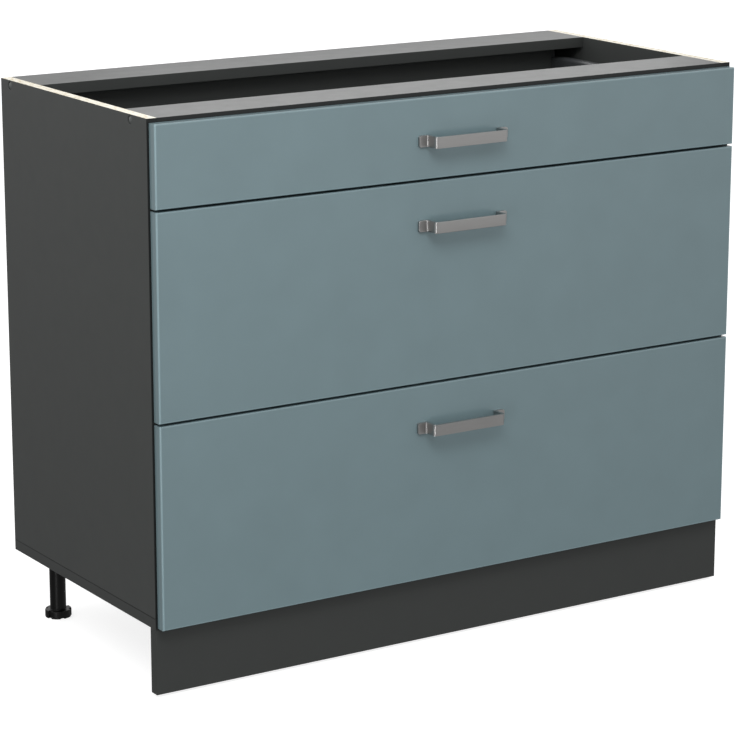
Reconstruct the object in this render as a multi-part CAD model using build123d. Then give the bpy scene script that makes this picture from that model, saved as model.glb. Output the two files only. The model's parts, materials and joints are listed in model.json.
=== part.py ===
from build123d import *
from dataclasses import dataclass
import math
import os

# Base cabinet with three drawers, open at the top, on four adjustable feet behind a plinth.
# Millimetres. +X right, +Y towards the wall, +Z up. The origin lies on the floor, under the
# middle of the whole cabinet, handles included.

# ---- Carcass boards ----
cabinet_width = 1000.0
cabinet_depth = 446.0            # from the front edges of the boards to their rear edges
carcass_height = 720.0
board = 16.0
front_rail_depth = 91.0
rear_rail_depth = 97.0
back_thickness = 3.0
back_setback = 12.0              # from the rear edges to the back panel
groove_depth = 8.0
groove_clearance = 0.2           # on each face of the back panel, and at its edges

# ---- Rail screws and the caps over them ----
screw_head_radius = 5.0
screw_head_height = 4.0
screw_shank_radius = 3.4
screw_shank_length = 44.0
screw_clearance = 0.1            # around shanks and caps
cap_radius = 6.0
cap_thickness = 1.4
cap_recess = 0.4                 # how far the cap lies below the board's face
front_screw_setback = 47.0
rear_screw_setback = 30.0
rail_screw_drop = 8.0            # below the top of the carcass

# ---- Feet, sockets and plinth ----
leg_height = 100.0
foot_side_inset = 45.0           # from the cabinet's side to a foot's axis
foot_front_inset = 50.0
foot_rear_inset = 50.0
shaft_radius = 12.2
foot_radius = 20.0
foot_height = 12.0
foot_lobes = 6
foot_notch_width = 5.0
foot_notch_depth = 3.2
foot_turn = 23.0                 # from +X to a foot's first notch, in degrees
socket_clearance = 0.3           # between a foot's shaft and what it turns in
socket_wall = 4.0
socket_length = 20.0
flange_width = 58.0
flange_thickness = 4.0
flange_corner = 8.0              # cut off each corner of the flange
sleeve_corner = 5.0              # cut off each corner of the sleeve
gusset_height = 14.0
gusset_thickness = 3.0
plinth_floor_gap = 4.0
clip_height = 24.0
clip_wall = 2.6
clip_plate_width = 44.0
clip_plate_thickness = 3.0
clip_mouth_angle = 100.0         # the open part of the clip's ring, in degrees
clip_level = 40.0                # from the floor to the clip's lower end

# ---- Drawer fronts ----
front_board = 16.0
front_gap = 0.5                  # between the carcass edges and the fronts
front_side_reveal = 3.0
front_top_reveal = 6.0
front_bottom_reveal = 2.5
front_spacing = 3.5
top_front_height = 116.5
front_edge_radius = 2.2

# ---- Handles: one flat strip, bent ----
handle_grip_length = 124.0
handle_pad_length = 14.0
handle_projection = 26.0
handle_strip_height = 16.5
handle_strip_thickness = 4.0
handle_grip_bend = 5.0           # on the outside, between a leg and the grip
handle_root_bend = 2.0           # on the face, between a pad and its leg
handle_heel_bend = 3.2           # behind that, next to the front
handle_pad_corner = 3.0
handle_hole_spacing = 128.0
top_handle_drop = 61.0           # from the top edge of the front to the handle's middle
deep_handle_drop = 63.0
handle_screw_radius = 2.0
handle_screw_bite = 3.2
handle_screw_head_radius = 4.2
handle_screw_head_height = 2.6

# ---- Drawer boxes ----
box_rise = 22.5                  # from the front's lower edge to the underside of the box
box_rear_clearance = 32.0        # from the box to the cabinet's back panel
side_height = 68.0
side_width = 17.5
side_sheet = 1.2
side_skirt = 8.0                 # how far the outer wall stops above the box's underside
side_top_radius = 5.0            # rounds the top edge that faces into the drawer
side_outer_cut = 3.0             # slants the top edge that faces the runner
side_drop = 4.0                  # how far the top edge falls towards the rear
side_drop_length = 50.0
base_ledge = 14.0
base_board = 16.0
base_clearance = 0.2
back_board = 16.0
back_rail_clearance = 3.0        # between the top drawer's back and the rear rail
deep_back_height = 190.0

# ---- Brackets and gallery rails ----
bracket_clearance = 0.2
bracket_plate = 3.0
bracket_arm = 6.0
bracket_reach = 26.0
bracket_height = 44.0
bracket_corner = 4.0             # slanting corners
rear_bracket_sheet = 1.6
rear_bracket_overlap = 24.0      # onto the back board
rear_bracket_tongue = 18.0
gallery_width = 9.0
gallery_height = 14.0
gallery_rise = 122.0             # from the underside of the box to the rail's middle
gallery_holder_rim = 2.5         # how far the holder on the front stands out round the rail
gallery_holder_length = 12.0

# ---- Runners: three nested channels with ball cages between them ----
runner_rise = 33.0               # from the box's underside to the runner's middle
runner_thickness = 19.5
runner_sheet = 1.5
runner_bend = 1.5                # how far from a corner the strip starts to turn
runner_setback = 2.0             # behind the carcass edge
runner_rear_allowance = 3.0      # past the end of the drawer's side
outer_half_height = 23.0
outer_flange = 11.95
outer_lip = 3.5
middle_half_height = 16.75
middle_web_offset = 3.5          # from the cabinet's side to the middle member
middle_flange = 13.25
middle_lip = 4.0
middle_shortfall = 8.0           # at each end, less than the outer member
inner_half_height = 10.75
inner_flange = 11.5
inner_front_setback = 6.0
cage_width = 2.4
cage_length = 176.0
cage_clearance = 0.3             # between a ball cage and the race that runs on it
cage_side_clearance = 1.2        # between a ball cage and the lip beside it
cage_end_setback = 5.0

# ---- Places that follow from the sizes above ----
overall_depth = cabinet_depth + front_gap + front_board + handle_projection
carcass_back = overall_depth / 2
carcass_front = carcass_back - cabinet_depth
front_back_face = carcass_front - front_gap
front_face = front_back_face - front_board
outer_x = cabinet_width / 2
inner_x = outer_x - board
bottom_top = leg_height + board
carcass_top = leg_height + carcass_height
rail_underside = carcass_top - board
back_panel_rear = carcass_back - back_setback
back_panel_front = back_panel_rear - back_thickness
front_screw_y = carcass_front + front_screw_setback
rear_screw_y = carcass_back - rear_screw_setback
rail_screw_z = carcass_top - rail_screw_drop
deep_front_height = (
    carcass_height - front_top_reveal - front_bottom_reveal - 2 * front_spacing - top_front_height
) / 2
front_width = cabinet_width - 2 * front_side_reveal
side_outer_x = inner_x - runner_thickness
side_inner_x = side_outer_x - side_width
box_rear = back_panel_front - box_rear_clearance
base_width = 2 * (side_inner_x - base_clearance)
foot_x = outer_x - foot_side_inset
front_foot_y = carcass_front + foot_front_inset
rear_foot_y = carcass_back - foot_rear_inset
sleeve_bore = shaft_radius + socket_clearance
outer_member_front = carcass_front + runner_setback
outer_member_rear = box_rear + runner_rear_allowance
middle_member_front = outer_member_front + middle_shortfall
middle_member_rear = outer_member_rear - middle_shortfall


@dataclass
class Drawer:
    """One drawer: where its front starts, how high that is, and its back and handle."""

    name: str
    front_bottom: float
    front_height: float
    handle_drop: float
    back_top: float
    has_gallery: bool

    @property
    def box_bottom(self):
        return self.front_bottom + box_rise

    @property
    def base_top(self):
        return self.box_bottom + side_sheet + base_board

    @property
    def handle_z(self):
        return self.front_bottom + self.front_height - self.handle_drop

    @property
    def runner_z(self):
        return self.box_bottom + runner_rise

    @property
    def gallery_z(self):
        return self.box_bottom + gallery_rise


def deep_drawer(name, front_bottom):
    """A drawer with a high front, a high back and gallery rails."""
    back_top = front_bottom + box_rise + side_sheet + base_board + deep_back_height
    return Drawer(name, front_bottom, deep_front_height, deep_handle_drop, back_top, True)


bottom_front_z = leg_height + front_bottom_reveal
middle_front_z = bottom_front_z + deep_front_height + front_spacing
top_front_z = middle_front_z + deep_front_height + front_spacing
top_drawer_back_top = rail_underside - back_rail_clearance

drawers = [
    deep_drawer("bottom", bottom_front_z),
    deep_drawer("middle", middle_front_z),
    Drawer("top", top_front_z, top_front_height, top_handle_drop, top_drawer_back_top, False),
]


# ---- Small helpers ----
def block(x0, x1, y0, y1, z0, z1):
    """A rectangular solid between two corners."""
    centre = ((x0 + x1) / 2, (y0 + y1) / 2, (z0 + z1) / 2)
    return Pos(*centre) * Box(x1 - x0, y1 - y0, z1 - z0)


def rod(radius, start, end):
    """A round solid from one point to another."""
    axis = Vector(*end) - Vector(*start)
    seat = Plane(origin=start, z_dir=axis)
    return seat * Cylinder(radius, axis.length, align=(Align.CENTER, Align.CENTER, Align.MIN))


def other_side(solid):
    """The mirror image of a piece, for the other side of the cabinet."""
    return mirror(solid, about=Plane.YZ)


def along_depth(section, y_front, y_rear):
    """A section drawn in X and Z, drawn out from the front to the rear."""
    rear_plane = Plane(origin=(0, y_rear, 0), x_dir=(1, 0, 0), z_dir=(0, -1, 0))
    return extrude(rear_plane * section, y_rear - y_front, dir=(0, -1, 0))


def save(name, *solids):
    """Write one sub-part: a single solid, or a group of separate equal pieces."""
    shape = solids[0] if len(solids) == 1 else Compound(children=list(solids))
    shape.label = name
    export_step(shape, f"parts/{name}.step")


# ---- Carcass ----
def screw_seats():
    """Where the screws that hold the rails go into the right side panel's outer face."""
    return [(outer_x, front_screw_y, rail_screw_z), (outer_x, rear_screw_y, rail_screw_z)]


def carcass_screw(seat):
    """One screw with a flat head, from the side panel into a rail's end."""
    x, y, z = seat
    head_face = x - cap_recess - cap_thickness
    neck = head_face - screw_head_height
    head = rod(screw_head_radius, (neck, y, z), (head_face, y, z))
    shank = rod(screw_shank_radius, (neck - screw_shank_length, y, z), (neck, y, z))
    return head + shank


def screw_hole(seat):
    """The bore for a screw's shank, with the counterbore for its head and cap."""
    x, y, z = seat
    shoulder = x - cap_recess - cap_thickness - screw_head_height
    bore_end = shoulder - screw_shank_length - screw_clearance
    counterbore = rod(cap_radius + screw_clearance, (shoulder, y, z), (x, y, z))
    return counterbore + rod(screw_shank_radius + screw_clearance, (bore_end, y, z), (x, y, z))


def with_screw_holes(piece):
    """Cut the holes of the rail screws, on both sides, out of a piece."""
    for seat in screw_seats():
        hole = screw_hole(seat)
        piece = piece - hole - other_side(hole)
    return piece


def screw_cap(seat):
    """Round cap that lies on a rail screw's head, just below the board's face."""
    x, y, z = seat
    face = x - cap_recess
    return rod(cap_radius, (face - cap_thickness, y, z), (face, y, z))


def back_groove():
    """The room that the back panel needs, with its clearance, in the boards around it."""
    return block(
        -inner_x - groove_depth,
        inner_x + groove_depth,
        back_panel_front - groove_clearance,
        back_panel_rear + groove_clearance,
        bottom_top - groove_depth,
        rail_underside + groove_depth,
    )


def side_panel():
    """Right side panel: it stands on the bottom panel."""
    panel = block(inner_x, outer_x, carcass_front, carcass_back, bottom_top, carcass_top)
    return with_screw_holes(panel - back_groove())


def bottom_panel():
    """Bottom panel, as wide as the cabinet, with the sides standing on it."""
    panel = block(-outer_x, outer_x, carcass_front, carcass_back, leg_height, bottom_top)
    return panel - back_groove()


def top_rail(y_front, y_rear):
    """A flat rail between the sides, flush with their top edges."""
    rail = block(-inner_x, inner_x, y_front, y_rear, rail_underside, carcass_top)
    return with_screw_holes(rail)


def back_panel():
    """Thin back panel that stands in the grooves of sides, bottom and rear rail."""
    reach = groove_depth - groove_clearance
    return block(
        -inner_x - reach,
        inner_x + reach,
        back_panel_front,
        back_panel_rear,
        bottom_top - reach,
        rail_underside + reach,
    )


def build_carcass():
    """Boards, screws and caps."""
    save("side_panel_right", side_panel())
    save("side_panel_left", other_side(side_panel()))
    save("bottom_panel", bottom_panel())
    save("front_rail", top_rail(carcass_front, carcass_front + front_rail_depth))
    save("rear_rail", top_rail(carcass_back - rear_rail_depth, carcass_back) - back_groove())
    save("back_panel", back_panel())
    screws = [carcass_screw(seat) for seat in screw_seats()]
    save("carcass_screws", *screws, *[other_side(screw) for screw in screws])
    caps = [screw_cap(seat) for seat in screw_seats()]
    save("screw_caps", *caps, *[other_side(cap) for cap in caps])


# ---- Feet and plinth ----
def foot_places():
    """The name and the axis of every foot."""
    return {
        "front_left": (-foot_x, front_foot_y),
        "front_right": (foot_x, front_foot_y),
        "rear_left": (-foot_x, rear_foot_y),
        "rear_right": (foot_x, rear_foot_y),
    }


def foot(x, y):
    """Adjustable foot: a lobed base that fingers can turn, and the shaft that goes up."""
    outline = Circle(foot_radius)
    for place in PolarLocations(foot_radius, foot_lobes, start_angle=foot_turn):
        outline -= place * Rectangle(2 * foot_notch_depth, foot_notch_width)
    base = extrude(outline, foot_height)
    shaft = rod(shaft_radius, (0, 0, foot_height), (0, 0, leg_height - socket_clearance))
    return Pos(x, y, 0) * (base + shaft)


def cut_square(width, corner, low_z, height):
    """An upright square prism with its four corners cut off."""
    square = Rectangle(width, width)
    return extrude(Pos(0, 0, low_z) * chamfer(square.vertices(), corner), height)


def leg_socket(x, y):
    """Flange under the bottom panel, with the ribbed sleeve that a foot's shaft runs in."""
    sleeve_half = sleeve_bore + socket_wall
    flange_bottom = leg_height - flange_thickness
    socket = cut_square(flange_width, flange_corner, flange_bottom, flange_thickness)
    socket += cut_square(2 * sleeve_half, sleeve_corner, leg_height - socket_length, socket_length)
    gusset = Polygon(
        (sleeve_half, flange_bottom),
        (flange_width / 2, flange_bottom),
        (sleeve_half, flange_bottom - gusset_height),
        align=None,
    )
    rib = extrude(Plane.XZ * gusset, gusset_thickness / 2, both=True)
    for quarter in range(4):
        socket += Rot(0, 0, 90 * quarter) * rib
    bore = rod(sleeve_bore, (0, 0, leg_height - 2 * socket_length), (0, 0, 2 * leg_height))
    return Pos(x, y, 0) * (socket - bore)


def plinth_clip(x):
    """Open ring around a front foot's shaft, with the plate that holds the plinth board."""
    ring_outer = sleeve_bore + clip_wall
    plate_front = carcass_front + board
    half_mouth = math.radians(clip_mouth_angle / 2)
    mouth_reach = 2 * ring_outer
    mouth = Polygon(
        (0, 0),
        (mouth_reach * math.sin(half_mouth), mouth_reach * math.cos(half_mouth)),
        (-mouth_reach * math.sin(half_mouth), mouth_reach * math.cos(half_mouth)),
        align=None,
    )
    neck_length = front_foot_y - plate_front
    neck = Pos(0, -neck_length / 2) * Rectangle(ring_outer, neck_length)
    plate_y = -neck_length + clip_plate_thickness / 2
    plate = Pos(0, plate_y) * Rectangle(clip_plate_width, clip_plate_thickness)
    outline = Circle(ring_outer) + neck + plate - Circle(sleeve_bore) - mouth
    return Pos(x, front_foot_y, clip_level) * extrude(outline, clip_height)


def build_stand():
    """Feet, their sockets, the plinth board and its clips."""
    for row, y in (("front", front_foot_y), ("rear", rear_foot_y)):
        left_foot = foot(-foot_x, y)
        save(f"foot_{row}_left", left_foot)
        save(f"foot_{row}_right", other_side(left_foot))
    save("leg_sockets", *[leg_socket(x, y) for x, y in foot_places().values()])
    save("plinth_clips", plinth_clip(-foot_x), plinth_clip(foot_x))
    plinth_rear = carcass_front + board
    save("plinth_board", block(-outer_x, outer_x, carcass_front, plinth_rear, plinth_floor_gap, leg_height))


# ---- Runners ----
def rolled_path(points):
    """A strip's centre line, each corner turned in two steps as a rolled bend is."""
    path = [Vector(*points[0])]
    for before, corner, after in zip(points, points[1:], points[2:]):
        corner = Vector(*corner)
        for neighbour in (before, after):
            path.append(corner + (Vector(*neighbour) - corner).normalized() * runner_bend)
    path.append(Vector(*points[-1]))
    return path


def strip_section(points):
    """Section of a bent steel strip along its centre line; x is counted from the cabinet's side."""
    path = rolled_path([(inner_x - x, z) for x, z in points])
    runs = [(end - start).normalized() for start, end in zip(path, path[1:])]
    one_face, other_face = [], []
    for place, run_in, run_out in zip(path, runs[:1] + runs, runs + runs[-1:]):
        mitre = (run_in + run_out).normalized()
        half_wall = Vector(-mitre.Y, mitre.X) * (runner_sheet / 2 / mitre.dot(run_in))
        one_face.append(place + half_wall)
        other_face.append(place - half_wall)
    return Polygon(*[(corner.X, corner.Y) for corner in one_face + other_face[::-1]], align=None)


def outer_member(drawer):
    """Channel on the cabinet's side, with lips that keep the balls in."""
    half = runner_sheet / 2
    edge = outer_flange - half
    level = outer_half_height - half
    lip = outer_half_height - outer_lip
    section = strip_section(
        [(edge, lip), (edge, level), (half, level), (half, -level), (edge, -level), (edge, -lip)]
    )
    return Pos(0, 0, drawer.runner_z) * along_depth(section, outer_member_front, outer_member_rear)


def cage_section(x_low, z_low, z_high):
    """Section of one ball cage strip between two races."""
    middle = Pos(inner_x - x_low - cage_width / 2, (z_low + z_high) / 2)
    return middle * Rectangle(cage_width, z_high - z_low)


def middle_member(drawer):
    """Channel that runs in the outer one, with the four ball cages that ride on it."""
    half = runner_sheet / 2
    web = middle_web_offset + half
    edge = middle_web_offset + middle_flange - half
    level = middle_half_height - half
    lip = middle_half_height - middle_lip
    section = strip_section(
        [(edge, lip), (edge, level), (web, level), (web, -level), (edge, -level), (edge, -lip)]
    )
    member = along_depth(section, middle_member_front, middle_member_rear)
    outer_race = outer_half_height - runner_sheet
    outer_cage_x = outer_flange - runner_sheet - cage_width - cage_side_clearance
    outer_cage = cage_section(outer_cage_x, middle_half_height - half, outer_race - cage_clearance)
    inner_cage_x = edge - half - cage_width - cage_side_clearance
    inner_race = middle_half_height - half
    inner_cage = cage_section(inner_cage_x, inner_half_height + cage_clearance, inner_race)
    rear_cage_end = middle_member_rear - cage_end_setback
    front_cage_start = middle_member_front + cage_end_setback
    rear_cages = along_depth(
        outer_cage + mirror(outer_cage, about=Plane.XZ), rear_cage_end - cage_length, rear_cage_end
    )
    front_cages = along_depth(
        inner_cage + mirror(inner_cage, about=Plane.XZ), front_cage_start, front_cage_start + cage_length
    )
    return Pos(0, 0, drawer.runner_z) * (member + rear_cages + front_cages)


def inner_member(drawer):
    """Channel screwed to the drawer's side, nested in the middle one."""
    half = runner_sheet / 2
    web = runner_thickness - half
    edge = runner_thickness - inner_flange
    level = inner_half_height - half
    section = strip_section([(edge, level), (web, level), (web, -level), (edge, -level)])
    front = front_back_face + inner_front_setback
    return Pos(0, 0, drawer.runner_z) * along_depth(section, front, box_rear)


def build_runners(drawer):
    """The three members of the runners on both sides of one drawer."""
    members = {"outer": outer_member, "middle": middle_member, "inner": inner_member}
    for member, make in members.items():
        right = make(drawer)
        save(f"{drawer.name}_runner_{member}_right", right)
        save(f"{drawer.name}_runner_{member}_left", other_side(right))


# ---- Drawer boxes ----
def crowned_outline(top, low, y_front, y_rear, radius):
    """Side view of the metal side: level at the top, falling in an arc towards the rear."""
    arc_start = box_rear - side_drop_length
    fall = radius - math.sqrt(radius ** 2 - (y_rear - arc_start) ** 2)
    crown = TangentArc((arc_start, top), (y_rear, top - fall), tangent=(1, 0))
    rest = Polyline(
        (y_rear, top - fall),
        (y_rear, low),
        (y_front, low),
        (y_front, top),
        (arc_start, top),
    )
    return make_face(crown + rest)


def top_edges(bar, x):
    """The long edges at the top of a bar, on its face at x."""
    middle_z = bar.bounding_box().center().Z
    on_face = bar.faces().filter_by(Axis.X).sort_by(lambda face: abs(face.center().X - x))[0]
    return [
        edge
        for edge in on_face.edges()
        if edge.center().Z > middle_z and edge.bounding_box().size.Y > edge.bounding_box().size.Z
    ]


def metal_side(drawer):
    """Right side of a drawer: one folded sheet with a hollow between its two walls."""
    top = drawer.box_bottom + side_height
    skirt = drawer.box_bottom + side_skirt
    drop_radius = (side_drop_length ** 2 + side_drop ** 2) / (2 * side_drop)
    outside = crowned_outline(top, skirt, front_back_face, box_rear, drop_radius)
    inside = crowned_outline(
        top - side_sheet,
        skirt - side_skirt,
        front_back_face - side_sheet,
        box_rear + side_sheet,
        drop_radius - side_sheet,
    )
    shell = extrude(Plane.YZ.offset(side_inner_x) * outside, side_width)
    shell = fillet(top_edges(shell, side_inner_x), side_top_radius)
    shell = chamfer(top_edges(shell, side_outer_x), side_outer_cut)
    hollow_low_x = side_inner_x + side_sheet
    hollow_high_x = side_outer_x - side_sheet
    hollow = extrude(Plane.YZ.offset(hollow_low_x) * inside, hollow_high_x - hollow_low_x)
    hollow_edges = top_edges(hollow, hollow_low_x) + top_edges(hollow, hollow_high_x)
    hollow = chamfer(hollow_edges, side_top_radius - side_sheet)
    inner_wall = block(
        side_inner_x, hollow_low_x, front_back_face, box_rear, drawer.box_bottom, skirt
    )
    ledge = block(
        side_inner_x - base_ledge,
        hollow_low_x,
        front_back_face,
        box_rear,
        drawer.box_bottom,
        drawer.box_bottom + side_sheet,
    )
    return shell - hollow + inner_wall + ledge


def drawer_base(drawer):
    """Base board that lies on the ledges of both sides."""
    low = drawer.box_bottom + side_sheet
    return block(-base_width / 2, base_width / 2, front_back_face, box_rear, low, drawer.base_top)


def drawer_back(drawer):
    """Back board that stands on the base board."""
    half = base_width / 2
    return block(-half, half, box_rear - back_board, box_rear, drawer.base_top, drawer.back_top)


def front_bracket(drawer):
    """Right front bracket: a plate against the front and an arm in the side's hollow."""
    x_low = side_inner_x + side_sheet + bracket_clearance
    x_high = side_outer_x - side_sheet - bracket_clearance
    z_low = drawer.runner_z - bracket_height / 2
    z_high = drawer.runner_z + bracket_height / 2
    plate = block(x_low, x_high, front_back_face, front_back_face + bracket_plate, z_low, z_high)
    arm = block(x_low, x_low + bracket_arm, front_back_face, front_back_face + bracket_reach, z_low, z_high)
    bracket = plate + arm
    corner = bracket.edges().filter_by(Axis.Z).sort_by_distance(
        (x_low + bracket_arm, front_back_face + bracket_plate, drawer.runner_z)
    )[0]
    return chamfer(corner, bracket_corner)


def rear_bracket(drawer):
    """Right rear bracket: a plate behind side and back board, with a tongue in the hollow."""
    plate_top = drawer.back_top - bracket_corner
    plate_rear = box_rear + rear_bracket_sheet
    x_low = side_inner_x - rear_bracket_overlap
    plate = block(x_low, side_outer_x, box_rear, plate_rear, drawer.base_top, plate_top)
    corners = plate.edges().filter_by(Axis.Y).group_by(Axis.Z)[-1]
    plate = chamfer(corners, bracket_corner)
    tongue_x = side_inner_x + side_sheet + bracket_clearance
    tongue_top = drawer.runner_z + bracket_height / 2
    tongue = block(
        tongue_x,
        tongue_x + rear_bracket_sheet,
        box_rear - rear_bracket_tongue,
        box_rear,
        drawer.base_top,
        tongue_top - side_drop,
    )
    return plate + tongue


def gallery_rail(drawer):
    """Rail above the right side, from its holder on the front to the rear bracket."""
    x = side_inner_x + side_width / 2
    half_width = gallery_width / 2
    low = drawer.gallery_z - gallery_height / 2
    high = low + gallery_height
    rim = gallery_holder_rim
    holder_end = front_back_face + gallery_holder_length
    rail = block(x - half_width, x + half_width, front_back_face, box_rear, low, high)
    holder = block(
        x - half_width - rim,
        x + half_width + rim,
        front_back_face,
        holder_end,
        low - rim,
        high + rim,
    )
    return rail + holder


# ---- Fronts and handles ----
def handle_screw_places(drawer):
    """Where the two handle screws of a drawer go through the front, seen from the front."""
    half = handle_hole_spacing / 2
    return [(-half, drawer.handle_z), (half, drawer.handle_z)]


def drawer_front(drawer):
    """Front board with softly rounded edges on its face."""
    half = front_width / 2
    top = drawer.front_bottom + drawer.front_height
    panel = block(-half, half, front_face, front_back_face, drawer.front_bottom, top)
    panel = fillet(panel.faces().sort_by(Axis.Y)[0].edges(), front_edge_radius)
    hole = handle_screw_radius + screw_clearance
    for x, z in handle_screw_places(drawer):
        panel = panel - rod(hole, (x, front_face - 1, z), (x, front_back_face + 1, z))
    return panel


def handle(drawer):
    """Handle of one flat strip: pads on the front, two short legs and the grip between them."""
    grip_end = handle_grip_length / 2
    pad_end = grip_end + handle_pad_length
    t = handle_strip_thickness
    out = handle_projection
    corners = [
        ((pad_end, 0), 0),
        ((pad_end, t), 0),
        ((grip_end, t), handle_root_bend),
        ((grip_end, out), handle_grip_bend),
        ((-grip_end, out), handle_grip_bend),
        ((-grip_end, t), handle_root_bend),
        ((-pad_end, t), 0),
        ((-pad_end, 0), 0),
        ((-grip_end + t, 0), handle_heel_bend),
        ((-grip_end + t, out - t), 0),
        ((grip_end - t, out - t), 0),
        ((grip_end - t, 0), handle_heel_bend),
    ]
    outline = Polygon(*[point for point, radius in corners], align=None)
    for point, radius in corners:
        if radius:
            vertex = outline.vertices().sort_by_distance((*point, 0))[0]
            outline = fillet(vertex, radius)
    # The outline's second axis points forwards, away from the front.
    lower = drawer.handle_z - handle_strip_height / 2
    place = Plane(origin=(0, front_face, lower), x_dir=(-1, 0, 0), z_dir=(0, 0, 1))
    strip = extrude(place * outline, handle_strip_height)
    pad_corners = [
        edge for edge in strip.edges().filter_by(Axis.Y) if abs(edge.center().X) > pad_end - 0.1
    ]
    strip = fillet(pad_corners, handle_pad_corner)
    hole = handle_screw_radius + screw_clearance
    bite = front_face - handle_screw_bite - screw_clearance
    for x, z in handle_screw_places(drawer):
        strip = strip - rod(hole, (x, bite, z), (x, front_face + 1, z))
    return strip


def handle_screw(x, z):
    """Screw from inside the drawer, through the front, into the handle."""
    head_rear = front_back_face + handle_screw_head_height
    head = rod(handle_screw_head_radius, (x, front_back_face, z), (x, head_rear, z))
    shank = rod(handle_screw_radius, (x, front_face - handle_screw_bite, z), (x, front_back_face, z))
    return head + shank


def build_drawer(drawer):
    """Every piece of one drawer that moves with its front."""
    name = drawer.name
    save(f"{name}_front", drawer_front(drawer))
    save(f"{name}_handle", handle(drawer))
    save(f"{name}_handle_screws", *[handle_screw(x, z) for x, z in handle_screw_places(drawer)])
    side = metal_side(drawer)
    save(f"{name}_side_right", side)
    save(f"{name}_side_left", other_side(side))
    save(f"{name}_base", drawer_base(drawer))
    save(f"{name}_back", drawer_back(drawer))
    brackets = [front_bracket(drawer), rear_bracket(drawer)]
    save(f"{name}_brackets", *brackets, *[other_side(bracket) for bracket in brackets])
    if drawer.has_gallery:
        rail = gallery_rail(drawer)
        save(f"{name}_gallery_rails", rail, other_side(rail))


os.makedirs("parts", exist_ok=True)
build_carcass()
build_stand()
for each_drawer in drawers:
    build_runners(each_drawer)
    build_drawer(each_drawer)
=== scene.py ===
"""Looks of a kitchen base cabinet with three drawers: finishes, small fittings, studio light and camera."""
import json
import logging
import math
from dataclasses import dataclass, field
from enum import Enum
from typing import Callable, Protocol

import bmesh
import bpy
from mathutils import Matrix, Vector


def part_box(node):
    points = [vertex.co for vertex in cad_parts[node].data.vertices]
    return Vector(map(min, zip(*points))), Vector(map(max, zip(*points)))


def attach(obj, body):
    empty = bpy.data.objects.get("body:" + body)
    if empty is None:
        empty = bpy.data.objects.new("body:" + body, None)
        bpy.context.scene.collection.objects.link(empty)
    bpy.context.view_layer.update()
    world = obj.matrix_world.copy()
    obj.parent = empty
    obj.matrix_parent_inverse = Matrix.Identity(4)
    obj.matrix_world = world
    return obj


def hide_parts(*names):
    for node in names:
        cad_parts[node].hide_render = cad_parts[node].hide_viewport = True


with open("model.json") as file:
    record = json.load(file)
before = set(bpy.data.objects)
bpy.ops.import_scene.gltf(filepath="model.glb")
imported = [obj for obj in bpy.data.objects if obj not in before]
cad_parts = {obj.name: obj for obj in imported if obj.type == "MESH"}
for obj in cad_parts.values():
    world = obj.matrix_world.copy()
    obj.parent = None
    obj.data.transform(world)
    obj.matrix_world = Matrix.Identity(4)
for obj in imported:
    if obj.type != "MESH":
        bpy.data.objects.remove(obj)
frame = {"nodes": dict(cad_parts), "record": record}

Triple = tuple[float, float, float]
Colour = tuple[float, float, float, float]
Tree = bpy.types.NodeTree
Socket = bpy.types.NodeSocket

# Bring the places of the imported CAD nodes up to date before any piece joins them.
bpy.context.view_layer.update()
MM = 0.001
# A coordinate in metres that no piece reaches.
NOWHERE = 9.0
# A face looks up when its unit normal rises by more than this.
FACING_UP = 0.9
# The two sides of the cabinet, with the sign of their X.
SIDES = (("left", -1), ("right", 1))
WHITE: Colour = (1.0, 1.0, 1.0, 1.0)
# Sockets of a mix node that blends colours: the share of the second, the two colours and the blend.
SHARE, FIRST, SECOND, BLEND = 0, 6, 7, 2
LOG = logging.getLogger("cabinet")


class Axis(Enum):
    """Direction that a brushed, rolled or felted pattern runs in."""

    X = (1.0, 0.0, 0.0)
    Y = (0.0, 1.0, 0.0)
    Z = (0.0, 0.0, 1.0)


def linear(hex_colour: str) -> Colour:
    """Turn an sRGB hex colour to linear.

    Args:
        hex_colour: six hex digits after a number sign.

    Returns:
        Linear red, green and blue, with an alpha of 1.
    """
    parts = [int(hex_colour[i:i + 2], 16) / 255 for i in (1, 3, 5)]
    return (*(p / 12.92 if p <= 0.04045 else ((p + 0.055) / 1.055) ** 2.4 for p in parts), 1.0)


def per_metre(size_mm: float) -> float:
    """Give the texture scale whose features are size_mm wide on Object coordinates."""
    return 1000 / size_mm


def add_node(tree: Tree, kind: str, settings: dict | None = None,
             links: dict | None = None) -> bpy.types.Node:
    """Add one node to a tree with its settings and links.

    Args:
        tree: the node tree.
        kind: the node's type name.
        settings: values by socket name, socket number or attribute name.
        links: output sockets by the name or number of the input that they feed.

    Returns:
        The new node.
    """
    node = tree.nodes.new(kind)
    for name, value in (settings or {}).items():
        if isinstance(name, int) or name in node.inputs:
            node.inputs[name].default_value = value
        else:
            setattr(node, name, value)
    for name, source in (links or {}).items():
        tree.links.new(source, node.inputs[name])
    return node


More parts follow.
